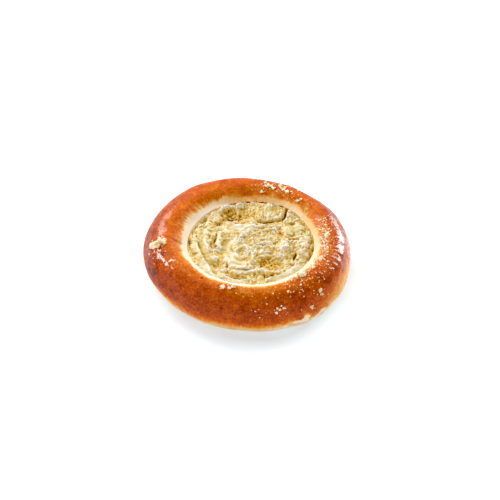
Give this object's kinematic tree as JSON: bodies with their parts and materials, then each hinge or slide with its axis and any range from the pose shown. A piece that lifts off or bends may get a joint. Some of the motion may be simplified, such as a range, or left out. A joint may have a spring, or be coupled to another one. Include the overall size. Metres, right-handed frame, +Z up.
{
  "type": "kolache",
  "caption": "Round open sweet bun with a raised, glazed and browned rim, crumbs on the rim, and a well filled level with swirled curd cheese.",
  "frame": {"origin": "middle of the bun's outline, on the surface that it stands on", "axes": "+Z up, out of the filled well; -Y towards the side that faced the viewer; +X to the viewer's right"},
  "size_m": [0.1107, 0.1069, 0.0276],
  "materials": {
    "crust": "egg-washed, browned bread crust: golden brown to red brown and glossy, pale cream at the inner lip, tan and matt at the foot",
    "curd": "baked curd cheese: pale yellow and cream, moist, grainy, with spoon ridges",
    "crumbs": "dry crumbs of dough and curd: pale cream, matt"
  },
  "bodies": {
    "root": {"bun": "crust", "filling": "curd"}
  },
  "joints": []
}
